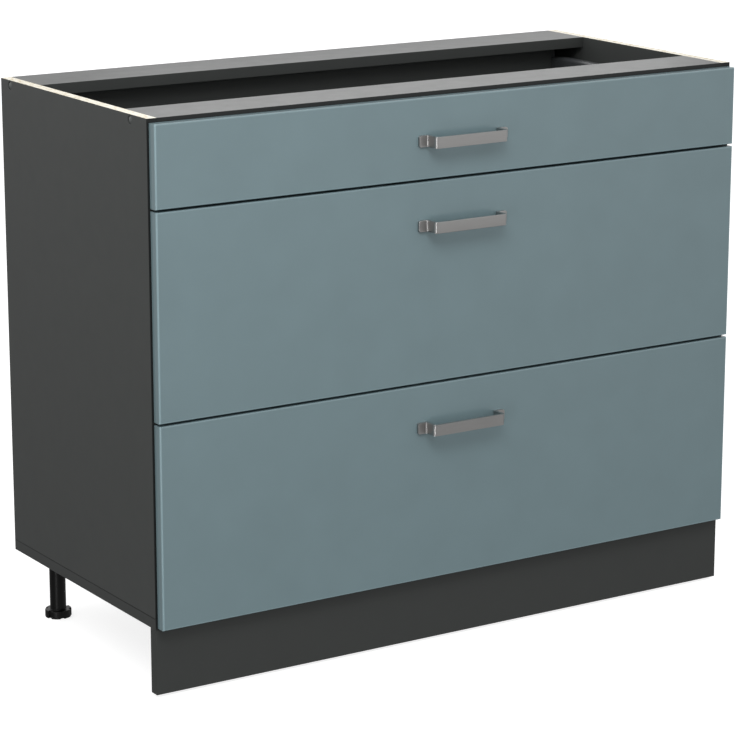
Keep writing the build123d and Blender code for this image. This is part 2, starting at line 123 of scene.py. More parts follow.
@dataclass(frozen=True)
class Finish:
    """A finish with a base colour, faint clouds in it and a fine surface relief.

    Subclasses add what their real surface has through the colour and relief methods.
    """

    name: str
    colour: str
    roughness: float
    ior: float = 1.5
    specular: float = 0.5
    metallic: float = 0.0
    coat: float = 0.0
    coat_roughness: float = 0.1
    relief_mm: float = 0.02
    # Width of the relief's bumps.
    bump_mm: float = 2.0
    # Clouds in the colour: their width, and how far they darken and lighten it, as a share.
    cloud_mm: float = 60.0
    cloud_depth: float = 0.06
    # Patches left by making and handling: their width, and how far they change the roughness.
    patch_mm: float = 25.0
    patch_depth: float = 0.04

    def base_colour(self, tree: Tree, place: Socket) -> Socket:
        """Give the colour output: the plain colour with its faint clouds.

        Args:
            tree: the material's node tree.
            place: Object coordinates.

        Returns:
            The socket that carries the colour.
        """
        clouds = add_node(tree, "ShaderNodeTexNoise", {"Scale": per_metre(self.cloud_mm), "Detail": 3.0},
                          {"Vector": place})
        value = add_node(tree, "ShaderNodeMapRange",
                         {"To Min": 1 - self.cloud_depth, "To Max": 1 + self.cloud_depth},
                         {"Value": clouds.outputs["Fac"]})
        tint = add_node(tree, "ShaderNodeHueSaturation", {"Color": linear(self.colour)},
                        {"Value": value.outputs["Result"]})
        return tint.outputs["Color"]

    def height(self, tree: Tree, place: Socket) -> Socket:
        """Give the relief output, from 0 to 1."""
        return add_node(tree, "ShaderNodeTexNoise", {"Scale": per_metre(self.bump_mm), "Detail": 2.0},
                        {"Vector": place}).outputs["Fac"]

    def drawn_out(self, tree: Tree, place: Socket, along: Axis, sizes_mm: tuple[float, float],
                  settings: dict[str, float]) -> Socket:
        """Give a pattern of lines or fibres that run along one axis.

        Args:
            tree: the material's node tree.
            place: Object coordinates.
            along: the axis.
            sizes_mm: their width and their length.
            settings: further settings of the noise.

        Returns:
            The socket that carries the pattern.
        """
        width, length = sizes_mm
        scale = [per_metre(length if part else width) for part in along.value]
        mapped = add_node(tree, "ShaderNodeMapping", {"Scale": scale}, {"Vector": place})
        drawn = add_node(tree, "ShaderNodeTexNoise", {"Scale": 1.0, **settings},
                         {"Vector": mapped.outputs["Vector"]})
        return drawn.outputs["Fac"]

    def material(self) -> bpy.types.Material:
        """Build the material.

        Returns:
            The finished material.
        """
        made = bpy.data.materials.new(self.name)
        made.use_nodes = True
        tree = made.node_tree
        shader = tree.nodes["Principled BSDF"]
        for socket, value in {"Roughness": self.roughness, "Metallic": self.metallic, "IOR": self.ior,
                              "Specular IOR Level": self.specular, "Coat Weight": self.coat,
                              "Coat Roughness": self.coat_roughness}.items():
            shader.inputs[socket].default_value = value
        place = add_node(tree, "ShaderNodeTexCoord").outputs["Object"]
        tree.links.new(self.base_colour(tree, place), shader.inputs["Base Color"])
        bump = add_node(tree, "ShaderNodeBump", {"Distance": self.relief_mm * MM, "Strength": 1.0},
                        {"Height": self.height(tree, place)})
        tree.links.new(bump.outputs["Normal"], shader.inputs["Normal"])
        patches = add_node(tree, "ShaderNodeTexNoise", {"Scale": per_metre(self.patch_mm), "Detail": 4.0},
                           {"Vector": place})
        spread = add_node(tree, "ShaderNodeMapRange", {"To Min": self.roughness - self.patch_depth,
                                                       "To Max": self.roughness + self.patch_depth},
                          {"Value": patches.outputs["Fac"]})
        tree.links.new(spread.outputs["Result"], shader.inputs["Roughness"])
        return made


@dataclass(frozen=True)
class LaminatedBoard(Finish):
    """Melamine-faced chipboard: a pearl-pressed foil, a band on the front edge, bare chips elsewhere, and
    painted shade on the band and along a joint.
    """

    cloud_mm: float = 40.0
    cloud_depth: float = 0.05
    raw_colour: str = "#E6E1D3"
    chip_colour: str = "#C2B492"
    # The front band is a real edge band, drawn near-black as painted shade of the gap behind the fronts.
    band_and_shade_colour: str = "#151717"
    # The dark line where the sides stand on the bottom panel is painted shade of the gap between them.
    joint_shade_colour: str = "#0E0F0F"
    raw_above: float = NOWHERE
    raw_behind: float = NOWHERE
    band_before: float = -NOWHERE
    joint_at: float = -NOWHERE
    joint_half: float = 0.8 * MM
    # Chips are 1 to 3 mm long. They are drawn 4 mm wide so that they show from a few metres.
    chip_mm: float = 4.0
    # Each chip has a random number from 0 to 1. Up to the first of these it is pale, from the second on dark.
    chip_limits: tuple[float, float] = (0.5, 0.9)
    # The real pearl is 0.3 mm wide. It is drawn coarser so that it shows.
    pearl_mm: float = 0.9

    def base_colour(self, tree: Tree, place: Socket) -> Socket:
        """Give the foil's colour, the band's at the front with painted shade in it, painted shade along the
        joint and bare chips on the edges without a band.

        Args:
            tree: the material's node tree.
            place: Object coordinates.

        Returns:
            The socket that carries the colour.
        """
        foil = super().base_colour(tree, place)
        chips = add_node(tree, "ShaderNodeTexVoronoi", {"Scale": per_metre(self.chip_mm)}, {"Vector": place})
        fleck = add_node(tree, "ShaderNodeMapRange",
                         {"From Min": self.chip_limits[0], "From Max": self.chip_limits[1]},
                         {"Value": chips.outputs["Color"]})
        core = add_node(tree, "ShaderNodeMix", {"data_type": "RGBA", FIRST: linear(self.raw_colour),
                                                SECOND: linear(self.chip_colour)},
                        {SHARE: fleck.outputs["Result"]})
        axes = add_node(tree, "ShaderNodeSeparateXYZ", links={"Vector": place})
        above = add_node(tree, "ShaderNodeMath", {"operation": "GREATER_THAN", 1: self.raw_above},
                         {0: axes.outputs["Z"]})
        behind = add_node(tree, "ShaderNodeMath", {"operation": "GREATER_THAN", 1: self.raw_behind},
                          {0: axes.outputs["Y"]})
        bare = add_node(tree, "ShaderNodeMath", {"operation": "MAXIMUM"},
                        {0: above.outputs["Value"], 1: behind.outputs["Value"]})
        # The band on the front edge, in a near-black that is partly painted shade of the gap behind the
        # fronts.
        before = add_node(tree, "ShaderNodeMath", {"operation": "LESS_THAN", 1: self.band_before},
                          {0: axes.outputs["Y"]})
        banded = add_node(tree, "ShaderNodeMix", {"data_type": "RGBA", SECOND: linear(self.band_and_shade_colour)},
                          {SHARE: before.outputs["Value"], FIRST: foil})
        # Painted shade: a dark line along the joint between the sides and the bottom panel.
        joint = add_node(tree, "ShaderNodeMath",
                         {"operation": "COMPARE", 1: self.joint_at, 2: self.joint_half},
                         {0: axes.outputs["Z"]})
        joint_shaded = add_node(tree, "ShaderNodeMix", {"data_type": "RGBA", SECOND: linear(self.joint_shade_colour)},
                           {SHARE: joint.outputs["Value"], FIRST: banded.outputs[BLEND]})
        whole = add_node(tree, "ShaderNodeMix", {"data_type": "RGBA"},
                         {SHARE: bare.outputs["Value"], FIRST: joint_shaded.outputs[BLEND],
                          SECOND: core.outputs[BLEND]})
        return whole.outputs[BLEND]

    def height(self, tree: Tree, place: Socket) -> Socket:
        """Give the pearl as flat bumps."""
        pearl = {"feature": "SMOOTH_F1", "Scale": per_metre(self.pearl_mm)}
        return add_node(tree, "ShaderNodeTexVoronoi", pearl, {"Vector": place}).outputs["Distance"]


@dataclass(frozen=True)
class BrushedMetal(Finish):
    """Metal with fine parallel scratches, which draw its highlights out across them."""

    grain: Axis = Axis.X
    line_mm: float = 0.25
    line_length_mm: float = 40.0
    # The noise, from its first limit to its second, takes the colour from the first tint to the second.
    line_limits: tuple[float, float] = (0.3, 0.7)
    line_tints: tuple[float, float] = (0.93, 1.06)

    def base_colour(self, tree: Tree, place: Socket) -> Socket:
        """Give the metal's colour, darker in its scratches.

        Args:
            tree: the material's node tree.
            place: Object coordinates.

        Returns:
            The socket that carries the colour.
        """
        value = add_node(tree, "ShaderNodeMapRange",
                         {"From Min": self.line_limits[0], "From Max": self.line_limits[1],
                          "To Min": self.line_tints[0], "To Max": self.line_tints[1]},
                         {"Value": self.height(tree, place)})
        tint = add_node(tree, "ShaderNodeHueSaturation", {"Color": linear(self.colour)},
                        {"Value": value.outputs["Result"]})
        return tint.outputs["Color"]

    def height(self, tree: Tree, place: Socket) -> Socket:
        """Give the scratches as relief."""
        sizes = (self.line_mm, self.line_length_mm)
        return self.drawn_out(tree, place, self.grain, sizes, {"Detail": 2.0})


@dataclass(frozen=True)
class GrainedSurface(Finish):
    """Lacquer, powder coat or moulded plastic: small round grains over the whole surface."""

    grain_mm: float = 0.8

    def height(self, tree: Tree, place: Socket) -> Socket:
        """Give the grains as relief."""
        return add_node(tree, "ShaderNodeTexNoise", {"Scale": per_metre(self.grain_mm), "Detail": 1.0},
                        {"Vector": place}).outputs["Fac"]


@dataclass(frozen=True)
class LacqueredFront(GrainedSurface):
    """Lacquered fibreboard. Its rounded upright and lower edges are painted paler: a painted highlight."""

    # Colour and width of the painted highlight on the rounded edges.
    painted_highlight_colour: str = "#81989E"
    edge_mm: float = 2.2
    fronts: tuple[str, ...] = ("top_front", "middle_front", "bottom_front")

    def edges(self, tree: Tree, place: Socket) -> Socket:
        """Find the rounded upright and lower edges of every front.

        Args:
            tree: the material's node tree.
            place: Object coordinates.

        Returns:
            The socket that is 1 on those edges and 0 elsewhere.
        """
        width = self.edge_mm * MM
        low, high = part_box(self.fronts[0])
        axes = add_node(tree, "ShaderNodeSeparateXYZ", links={"Vector": place})
        aside = add_node(tree, "ShaderNodeMath", {"operation": "ABSOLUTE"}, {0: axes.outputs["X"]})
        border = add_node(tree, "ShaderNodeMath", {"operation": "GREATER_THAN", 1: high[0] - width},
                          {0: aside.outputs["Value"]})
        for front in self.fronts:
            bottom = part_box(front)[0][2]
            line = add_node(tree, "ShaderNodeMath", {"operation": "COMPARE", 1: bottom, 2: width},
                            {0: axes.outputs["Z"]})
            border = add_node(tree, "ShaderNodeMath", {"operation": "MAXIMUM"},
                              {0: border.outputs["Value"], 1: line.outputs["Value"]})
        face = add_node(tree, "ShaderNodeMath", {"operation": "LESS_THAN", 1: low[1] + width},
                        {0: axes.outputs["Y"]})
        both = add_node(tree, "ShaderNodeMath", {"operation": "MULTIPLY"},
                        {0: border.outputs["Value"], 1: face.outputs["Value"]})
        return both.outputs["Value"]

    def base_colour(self, tree: Tree, place: Socket) -> Socket:
        """Give the lacquer's colour, with a painted highlight on the rounded upright and lower edges.

        Args:
            tree: the material's node tree.
            place: Object coordinates.

        Returns:
            The socket that carries the colour.
        """
        lacquer = super().base_colour(tree, place)
        # Painted highlight: the pale colour laid over the rounded upright and lower edges.
        whole = add_node(tree, "ShaderNodeMix", {"data_type": "RGBA", SECOND: linear(self.painted_highlight_colour)},
                         {SHARE: self.edges(tree, place), FIRST: lacquer})
        return whole.outputs[BLEND]


@dataclass(frozen=True)
class Hardboard(Finish):
    """Pressed wood fibre, lacquered on the face to the drawers and left brown on the face to the wall."""

    cloud_mm: float = 50.0
    cloud_depth: float = 0.05
    fibre_colour: str = "#6B4F36"
    lacquer_before: float = 0.0
    fibre_mm: float = 1.2
    fibre_length_mm: float = 9.0
    # The noise, from its first limit to its second, takes the colour from the first tint to the second.
    fibre_limits: tuple[float, float] = (0.25, 0.75)
    fibre_tints: tuple[float, float] = (0.7, 1.25)

    def base_colour(self, tree: Tree, place: Socket) -> Socket:
        """Give the lacquer's colour in front and felted brown fibres behind.

        Args:
            tree: the material's node tree.
            place: Object coordinates.

        Returns:
            The socket that carries the colour.
        """
        lacquer = super().base_colour(tree, place)
        fibres = self.drawn_out(tree, place, Axis.X, (self.fibre_mm, self.fibre_length_mm),
                                {"Detail": 3.0, "Distortion": 1.5})
        value = add_node(tree, "ShaderNodeMapRange",
                         {"From Min": self.fibre_limits[0], "From Max": self.fibre_limits[1],
                          "To Min": self.fibre_tints[0], "To Max": self.fibre_tints[1]}, {"Value": fibres})
        felt = add_node(tree, "ShaderNodeHueSaturation", {"Color": linear(self.fibre_colour)},
                        {"Value": value.outputs["Result"]})
        axes = add_node(tree, "ShaderNodeSeparateXYZ", links={"Vector": place})
        behind = add_node(tree, "ShaderNodeMath", {"operation": "GREATER_THAN", 1: self.lacquer_before},
                          {0: axes.outputs["Y"]})
        both = add_node(tree, "ShaderNodeMix", {"data_type": "RGBA"},
                        {SHARE: behind.outputs["Value"], FIRST: lacquer, SECOND: felt.outputs["Color"]})
        return both.outputs[BLEND]


@dataclass
class Finishes:
    """All finishes of the cabinet, by the record's material slot."""

    foil: str = "#363837"
    # The side panels take a lighter copy of the foil: painted light that makes up for the dimmer surroundings
    # on the left.
    lit_side_foil: str = "#3E403F"
    # How deep a sawn face shows bare. It only has to be more than rounding errors and less than the foil.
    foil_skin: float = 0.06 * MM
    band: float = 0.8 * MM
    built: dict[str, bpy.types.Material] = field(default_factory=dict)

    def choose(self, slot: str) -> Finish:
        """Give the finish of a slot.

        Args:
            slot: the record's material slot.

        Returns:
            The finish.
        """
        low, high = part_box("side_panel_left")
        edges = {"raw_behind": high[1] - self.foil_skin, "band_before": low[1] + self.band,
                 "joint_at": low[2]}
        hardboard_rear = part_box("back_panel")[1][1] - self.foil_skin
        return {
            # Chipboard pressed with melamine foil: an even anthracite with a dull, pearly sheen, drawn in a
            # lighter copy of the foil as painted light. Its top and rear edges are sawn and left bare, so
            # that pale flecked chips show.
            "side_board": LaminatedBoard("melamine_chipboard_bare_top_edge", self.lit_side_foil, 0.42, ior=1.68,
                                         specular=0.19, raw_above=high[2] - self.foil_skin, **edges),
            # The same board lying flat, where a glancing view turns the dull sheen to a soft grey.
            "anthracite_board": LaminatedBoard("melamine_chipboard_anthracite", self.foil, 0.36, ior=1.68,
                                               specular=0.25, **edges),
            # The same board banded all round, as a plinth is, so that it is dark on every face.
            "plinth_board": LaminatedBoard("melamine_chipboard_plinth", self.foil, 0.42, ior=1.68,
                                           specular=0.19),
            # Wood fibre pressed thin: dull lacquer inside the cabinet, brown felted fibres towards the wall.
            "back_panel": Hardboard("lacquered_hardboard", self.foil, 0.5, specular=0.3,
                                    lacquer_before=hardboard_rear),
            # Fibreboard sprayed with satin polyurethane lacquer: a calm blue-grey with a painted highlight on
            # its rounded upright and lower edges, and a long soft highlight that the spray's faint waviness
            # loosens.
            "front_lacquer": LacqueredFront("satin_lacquered_mdf", "#6C8085", 0.34, specular=0.4, coat=0.6,
                                            coat_roughness=0.12, relief_mm=0.004, grain_mm=2.5),
            # Steel strip plated with nickel and brushed along its length: a warm pale grey whose highlights
            # spread across the brush lines.
            "brushed_nickel": BrushedMetal("brushed_satin_nickel", "#ABAAA9", 0.3, metallic=1.0,
                                           relief_mm=0.01),
            # Cold-rolled steel plated with zinc: a cool grey, with rolling lines along the runner.
            "runner_zinc": BrushedMetal("electro_zinced_rolled_steel", "#A4A8AC", 0.32, metallic=1.0,
                                        relief_mm=0.006, grain=Axis.Y),
            # Cold-headed steel plated with zinc: small bright heads and balls with short drawn marks.
            "screw_zinc": BrushedMetal("zinced_screw_steel", "#BEBFC0", 0.28, metallic=1.0, relief_mm=0.004,
                                       line_mm=0.4, line_length_mm=2.0),
            # Folded sheet with a polyester powder coat: a dark satin skin with a fine orange peel.
            "graphite_steel": GrainedSurface("graphite_powder_coated_steel", "#3A3C3E", 0.4, ior=1.55,
                                             specular=0.43, relief_mm=0.02),
            # Injection-moulded polypropylene: a deep black with a waxy, broad highlight.
            "black_plastic": GrainedSurface("moulded_black_polypropylene", "#0A0A0A", 0.35, ior=1.49,
                                            specular=0.26, relief_mm=0.01, grain_mm=0.6),
            # Injection-moulded polyethylene from a polished mould: a dark grey with a small clear highlight.
            "dark_cap": GrainedSurface("moulded_dark_grey_polyethylene", "#4F5251", 0.22, ior=1.52,
                                       specular=0.47, relief_mm=0.004, grain_mm=0.6),
        }[slot]

    def get(self, slot: str) -> bpy.types.Material:
        """Give the material of a slot, built once.

        Args:
            slot: the record's material slot.

        Returns:
            The material.
        """
        if slot not in self.built:
            self.built[slot] = self.choose(slot).material()
        return self.built[slot]

    def dress_nodes(self) -> None:
        """Give every CAD node the finish of its slot."""
        for part in frame["record"]["subparts"]:
            node = frame["nodes"][part["node"]]
            for holder in node.material_slots:
                holder.material = self.get(part["material_slot"])
            LOG.info("node %s has %s", part["node"], node.material_slots[0].material.name)


def sort_nodes() -> tuple[dict[str, str], dict[str, str]]:
    """Read the record.

    Returns:
        The material slot and the body of every node.
    """
    record = frame["record"]
    slots = {part["node"]: part["material_slot"] for part in record["subparts"]}
    bodies = {node: body for body, nodes in record["behaviour"]["bodies"].items() for node in nodes}
    return slots, bodies


SLOT_OF, BODY_OF = sort_nodes()
FOOT_NODES = [node for node in SLOT_OF if node.startswith("foot_")]


def start_clean() -> None:
    """Leave nothing selected, so that the next operator acts on the next piece alone."""
    bpy.ops.object.select_all(action="DESELECT")


def take_up(piece: bpy.types.Object) -> None:
    """Make a piece the only one that is selected, and the active one.

    Args:
        piece: the piece.
    """
    start_clean()
    piece.select_set(True)
    bpy.context.view_layer.objects.active = piece


def select_faces(piece: bpy.types.Object, wanted: Callable[[bmesh.types.BMFace], bool]) -> None:
    """In edit mode, select the faces that pass a test.

    Args:
        piece: the piece in edit mode.
        wanted: the test.
    """
    bpy.ops.mesh.select_all(action="DESELECT")
    mesh = bmesh.from_edit_mesh(piece.data)
    for face in mesh.faces:
        face.select_set(wanted(face))
    bmesh.update_edit_mesh(piece.data)


def apply_modifier(piece: bpy.types.Object, kind: str, settings: dict) -> None:
    """Add a modifier to a piece and apply it.

    Args:
        piece: the piece.
        kind: the modifier's type.
        settings: its settings by name.
    """
    take_up(piece)
    modifier = piece.modifiers.new(kind.lower(), kind)
    for name, value in settings.items():
        setattr(modifier, name, value)
    bpy.ops.object.modifier_apply(modifier=modifier.name)


def open_disc(radius: float, thickness: float, sides: int) -> bpy.types.Object:
    """Stand a disc on the XY plane, with its top selected for editing.

    Args:
        radius: its radius, in metres.
        thickness: its thickness, in metres.
        sides: the number of its sides.

    Returns:
        The disc, in edit mode.
    """
    start_clean()
    bpy.ops.mesh.primitive_cylinder_add(vertices=sides, radius=radius, depth=thickness,
                                        location=(0, 0, thickness / 2))
    disc = bpy.context.object
    bpy.ops.object.transform_apply(location=True)
    bpy.ops.object.mode_set(mode="EDIT")
    select_faces(disc, lambda face: face.normal.z > FACING_UP)
    return disc


def three_along(low: float, high: float, inset_mm: float) -> Triple:
    """Give three places along a length: one near each end and one in the middle."""
    return low + inset_mm * MM, (low + high) / 2, high - inset_mm * MM


@dataclass(frozen=True)
class Seat:
    """Where a small piece sits: a point and the way that it faces."""

    place: Triple
    facing: Triple

    def matrix(self) -> Matrix:
        """Give the transform that takes a piece modelled on the XY plane, facing up, to the seat."""
        turn = Vector(self.facing).to_track_quat("Z", "Y").to_matrix().to_4x4()
        return Matrix.Translation(Vector(self.place)) @ turn


class Repeated(Protocol):
    """A small piece that is modelled once and copied to its seats."""

    def model(self) -> bpy.types.Object:
        """Model the piece at the origin, facing up."""


@dataclass(frozen=True)
class Ball:
    """Bearing ball, centred on its seat. It has few faces, because there are hundreds."""

    radius_mm: float
    # Two cuts make nine squares on each side of the cube that the ball starts as.
    cuts: int = 2

    def model(self) -> bpy.types.Object:
        """Model the ball: a cube cut into squares and cast to a sphere, so that no pole shows.

        Returns:
            The ball, to be copied.
        """
        radius = self.radius_mm * MM
        start_clean()
        bpy.ops.mesh.primitive_cube_add(size=2 * radius)
        ball = bpy.context.object
        bpy.ops.object.mode_set(mode="EDIT")
        bpy.ops.mesh.select_all(action="SELECT")
        bpy.ops.mesh.subdivide(number_cuts=self.cuts)
        bpy.ops.object.mode_set(mode="OBJECT")
        apply_modifier(ball, "CAST", {"cast_type": "SPHERE", "factor": 1.0, "use_radius_as_size": False,
                                      "size": radius})
        bpy.ops.object.shade_smooth()
        return ball


@dataclass(frozen=True)
class CrossScrew:
    """Head of a screw with a cross recess. It sits on the XY plane and faces up."""

    radius_mm: float
    height_mm: float
    # Shares of the height and of the radius.
    rim_share: float = 0.55
    crown_inset_share: float = 0.3
    recess_width_share: float = 0.34
    recess_length_share: float = 1.15
    recess_depth_share: float = 0.6
    sides: int = 24
    smooth_angle: float = math.radians(40)

    def slot_cutter(self, turned: bool) -> bpy.types.Object:
        """Make one bar of the cross. Its lower half reaches into the head.

        Args:
            turned: True for the bar along Y.

        Returns:
            The cutter.
        """
        radius, height = self.radius_mm * MM, self.height_mm * MM
        long, wide = self.recess_length_share * radius, self.recess_width_share * radius
        start_clean()
        bpy.ops.mesh.primitive_cube_add(size=1, location=(0, 0, height))
        bar = bpy.context.object
        bar.scale = (wide if turned else long, long if turned else wide, 2 * self.recess_depth_share * height)
        bpy.ops.object.transform_apply(location=True, scale=True)
        return bar

    def model(self) -> bpy.types.Object:
        """Model the head: a short drum, its crown drawn up, and the cross cut in.

        Returns:
            The head, to be copied.
        """
        radius, height = self.radius_mm * MM, self.height_mm * MM
        rim = self.rim_share * height
        head = open_disc(radius, rim, self.sides)
        bpy.ops.mesh.inset(thickness=self.crown_inset_share * radius)
        bpy.ops.transform.translate(value=(0, 0, height - rim))
        bpy.ops.object.mode_set(mode="OBJECT")
        for turned in (False, True):
            bar = self.slot_cutter(turned)
            apply_modifier(head, "BOOLEAN", {"object": bar, "operation": "DIFFERENCE", "solver": "EXACT"})
            bpy.data.objects.remove(bar)
        take_up(head)
        bpy.ops.object.shade_smooth_by_angle(angle=self.smooth_angle)
        return head


@dataclass(frozen=True)
class ScrewCap:
    """Domed cap over a rail screw, with a thin rim. It sits on the XY plane and faces up."""

    radius_mm: float = 6.0
    rim_mm: float = 0.45
    dome_mm: float = 1.3
    dome_rings: int = 5
    sides: int = 32
    smooth_angle: float = math.radians(50)

    def model(self) -> bpy.types.Object:
        """Model the cap: a thin disc whose face is drawn in and up, ring by ring, along a parabola.

        Returns:
            The cap, to be copied.
        """
        radius = self.radius_mm * MM
        cap = open_disc(radius, self.rim_mm * MM, self.sides)
        last = 1.0
        for ring in range(1, self.dome_rings + 1):
            # The half ring that is left over is the flat middle of the dome.
            share = 1 - ring / (self.dome_rings + 0.5)
            bpy.ops.mesh.inset(thickness=(last - share) * radius)
            bpy.ops.transform.translate(value=(0, 0, (last ** 2 - share ** 2) * self.dome_mm * MM))
            last = share
        bpy.ops.object.mode_set(mode="OBJECT")
        take_up(cap)
        bpy.ops.object.shade_smooth_by_angle(angle=self.smooth_angle)
        return cap


@dataclass
class Assembly:
    """What the sub-assemblies share: their finishes, and how a piece is eased, repeated and handed over."""

    finishes: Finishes
    smooth_angle: float = math.radians(50)
    # Points of the CAD mesh that lie closer than this are one point.
    weld_mm: float = 0.001
    # Faces that meet at less than the first angle are one flat face. Edges over the second are sharp.
    flat_angle: float = math.radians(0.5)
    sharp_angle: float = math.radians(35)

    def hand_over(self, piece: bpy.types.Object, name: str, slot: str, body: str,
                  stands_for: tuple[str, ...] = ()) -> None:
        """Name a finished piece, dress it and let it ride on its body.

        Args:
            piece: the piece.
            name: its name.
            slot: its material slot.
            body: the body that it rides on.
            stands_for: the CAD nodes that it replaces.
        """
        piece.name = name
        piece.data.name = name
        piece.data.materials.clear()
        piece.data.materials.append(self.finishes.get(slot))
        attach(piece, body)
        if stands_for:
            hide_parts(*stands_for)
        LOG.info("piece %s rides on %s, %d faces", name, body, len(piece.data.polygons))

    def shade(self, piece: bpy.types.Object) -> None:
        """Shade a piece smooth over its small steps, with its flat faces flat.

        Args:
            piece: the piece.
        """
        take_up(piece)
        bpy.ops.object.shade_smooth_by_angle(angle=self.smooth_angle)
        apply_modifier(piece, "WEIGHTED_NORMAL", {"keep_sharp": True})

    def ease(self, node: str, width_mm: float, segments: int = 2) -> None:
        """Replace a CAD node by a copy whose sharp edges are rounded as handling and finishing leave them.

        Args:
            node: the node.
            width_mm: how far from the edge the rounding starts.
            segments: steps in the rounding.
        """
        copy = bpy.data.objects.new(f"{node}_eased", frame["nodes"][node].data.copy())
        bpy.context.scene.collection.objects.link(copy)
        take_up(copy)
        bpy.ops.mesh.customdata_custom_splitnormals_clear()
        bpy.ops.object.mode_set(mode="EDIT")
        bpy.ops.mesh.select_all(action="SELECT")
        bpy.ops.mesh.remove_doubles(threshold=self.weld_mm * MM)
        bpy.ops.mesh.dissolve_limited(angle_limit=self.flat_angle)
        bpy.ops.object.mode_set(mode="OBJECT")
        apply_modifier(copy, "BEVEL", {"width": width_mm * MM, "segments": segments, "limit_method": "ANGLE",
                                       "angle_limit": self.sharp_angle})
        low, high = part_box(node)
        for vertex in copy.data.vertices:
            vertex.co = [min(max(value, least), most) for value, least, most in zip(vertex.co, low, high)]
        self.shade(copy)
        self.hand_over(copy, f"{node}_eased", SLOT_OF[node], BODY_OF[node], (node,))

    def repeat(self, kind: Repeated, seats: list[Seat], name: str, slot: str, body: str,
               stands_for: tuple[str, ...] = ()) -> None:
        """Model a small piece once, copy it to its seats and join the copies of one body.

        Args:
            kind: what models the piece, at the origin and facing up.
            seats: the seats.
            name: the group's name.
            slot: its material slot.
            body: the body that it rides on.
            stands_for: the CAD nodes that it replaces.
        """
        model = kind.model()
        mesh = model.data
        bpy.data.objects.remove(model)
        start_clean()
        for number, seat in enumerate(seats):
            copy = bpy.data.objects.new(f"{name}_{number}", mesh.copy())
            copy.data.transform(seat.matrix())
            bpy.context.scene.collection.objects.link(copy)
            copy.select_set(True)
            bpy.context.view_layer.objects.active = copy
        if len(seats) > 1:
            bpy.ops.object.join()
        self.hand_over(bpy.context.view_layer.objects.active, name, slot, body, stands_for)


@dataclass
class Carcass(Assembly):
    """Boards with eased edges, caps, and the screws that stay with the carcass."""

    boards: tuple[str, ...] = ("side_panel_left", "side_panel_right", "bottom_panel", "front_rail",
                               "rear_rail", "plinth_board")
    board_edge_mm: float = 0.5
    cap: ScrewCap = ScrewCap()
    cap_front_mm: float = 47.0
    cap_rear_mm: float = 30.0
    cap_drop_mm: float = 8.0
    cap_seat_mm: float = 1.8
    board_screw: CrossScrew = CrossScrew(radius_mm=4.0, height_mm=0.35)
    board_screw_inset_mm: float = 60.0
    flange_screw: CrossScrew = CrossScrew(radius_mm=3.8, height_mm=2.2)
    flange_screw_reach_mm: float = 21.5
    flange_mm: float = 4.0
    clip_screw: CrossScrew = CrossScrew(radius_mm=3.2, height_mm=1.8)
    clip_width_mm: float = 44.0
    clip_plate_mm: float = 3.0
    clip_screw_rise_mm: float = 12.0
    clip_screw_reach_mm: float = 15.0

    def screw_caps(self) -> None:
        """Put a cap over each rail screw."""
        low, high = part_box("side_panel_right")
        level = high[2] - self.cap_drop_mm * MM
        seat_x = high[0] - self.cap_seat_mm * MM
        seats = [
            Seat((side * seat_x, y, level), (side, 0, 0))
            for side in (-1, 1)
            for y in (low[1] + self.cap_front_mm * MM, high[1] - self.cap_rear_mm * MM)
        ]
        self.repeat(self.cap, seats, "rail_screw_caps", "dark_cap", "carcass", ("screw_caps",))

    def underside_screws(self) -> None:
        """Set the screws that go up through the bottom panel into the sides, three a side."""
        low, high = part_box("bottom_panel")
        side_low, side_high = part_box("side_panel_right")
        axis_x = (side_low[0] + side_high[0]) / 2
        seats = [
            Seat((side * axis_x, y, low[2]), (0, 0, -1))
            for side in (-1, 1)
            for y in three_along(low[1], high[1], self.board_screw_inset_mm)
        ]
        self.repeat(self.board_screw, seats, "bottom_panel_screws", "screw_zinc", "carcass")

    def flange_screws(self) -> None:
        """Set four screws in the flange of every foot's socket."""
        reach = self.flange_screw_reach_mm * MM
        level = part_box("bottom_panel")[0][2] - self.flange_mm * MM
        seats = []
        for foot in FOOT_NODES:
            low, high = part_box(foot)
            x, y = (low[0] + high[0]) / 2, (low[1] + high[1]) / 2
            seats += [Seat((x + i * reach, y + j * reach, level), (0, 0, -1))
                      for i in (-1, 1) for j in (-1, 1)]
        self.repeat(self.flange_screw, seats, "socket_flange_screws", "screw_zinc", "carcass")

    def clip_screws(self) -> None:
        """Set two screws in the plate of each plinth clip, into the plinth board."""
        low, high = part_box("plinth_clips")
        plate_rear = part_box("plinth_board")[1][1] + self.clip_plate_mm * MM
        level = low[2] + self.clip_screw_rise_mm * MM
        axis_x = high[0] - self.clip_width_mm * MM / 2
        reach = self.clip_screw_reach_mm * MM
        seats = [
            Seat((side * axis_x + way * reach, plate_rear, level), (0, 1, 0))
            for side in (-1, 1)
            for way in (-1, 1)
        ]
        self.repeat(self.clip_screw, seats, "plinth_clip_screws", "screw_zinc", "carcass")

    def build(self) -> None:
        """Build the carcass's pieces."""
        for board in self.boards:
            self.ease(board, self.board_edge_mm)
        self.screw_caps()
        self.underside_screws()
        self.flange_screws()
        self.clip_screws()


@dataclass
class Feet(Assembly):
    """Adjustable feet with softly moulded lobes, their sockets and the plinth's clips."""

    lobe_edge_mm: float = 1.1
    lobe_segments: int = 3
    fitting_edge_mm: float = 0.5

    def build(self) -> None:
        """Round the moulded edges of the feet, the clips and the sockets."""
        for foot in FOOT_NODES:
            self.ease(foot, self.lobe_edge_mm, self.lobe_segments)
        for fitting in ("plinth_clips", "leg_sockets"):
            self.ease(fitting, self.fitting_edge_mm)


